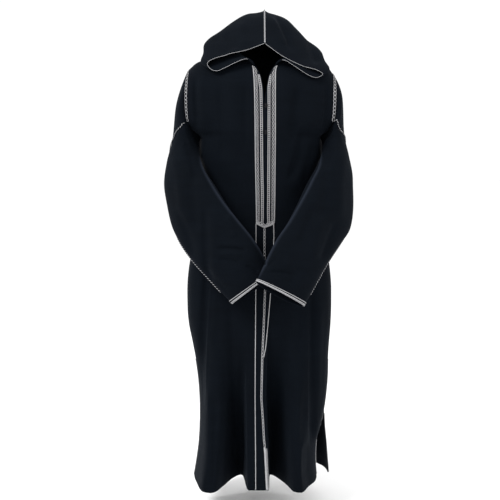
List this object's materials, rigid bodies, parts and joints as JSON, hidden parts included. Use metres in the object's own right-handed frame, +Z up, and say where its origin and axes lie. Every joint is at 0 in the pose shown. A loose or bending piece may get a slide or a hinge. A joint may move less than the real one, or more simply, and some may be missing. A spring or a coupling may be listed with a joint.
{
  "type": "hooded djellaba robe",
  "caption": "Long hooded robe, worn and filled out, with wide sleeves folded low in front, a braided front slit and open side slits.",
  "frame": {"origin": "inside the neck at the level of the shoulders, where the wearer's shoulders hold the robe up", "axes": "+Z up along the robe's length, -Y out of its front, +X to the right of a viewer in front"},
  "size_m": [0.6344, 0.4967, 1.598],
  "materials": {
    "black_wool": "matt wool with a short nap",
    "silver_braid": "braid of pale grey and black thread",
    "black_cord": "black silk cord"
  },
  "bodies": {
    "root": {"front_left": "black_wool", "front_right": "black_wool", "back": "black_wool", "sleeve_left": "black_wool", "sleeve_right": "black_wool", "hood_left": "black_wool", "hood_right": "black_wool", "chest_braid_left": "silver_braid", "chest_braid_right": "silver_braid", "chest_ladder_left": "silver_braid", "chest_ladder_right": "silver_braid", "slit_foot_braid": "silver_braid", "centre_chain": "silver_braid", "front_cord_left": "silver_braid", "front_cord_right": "silver_braid", "armhole_braid_left": "silver_braid", "armhole_braid_right": "silver_braid", "sleeve_piping_left": "silver_braid", "sleeve_piping_right": "silver_braid", "cuff_braid_left": "silver_braid", "cuff_braid_right": "silver_braid", "brim_piping_left": "silver_braid", "brim_piping_right": "silver_braid", "ridge_braid": "silver_braid", "side_piping_front_left": "silver_braid", "side_piping_front_right": "silver_braid", "side_piping_back_left": "silver_braid", "side_piping_back_right": "silver_braid", "knot_1": "black_cord", "knot_2": "black_cord"}
  },
  "joints": []
}
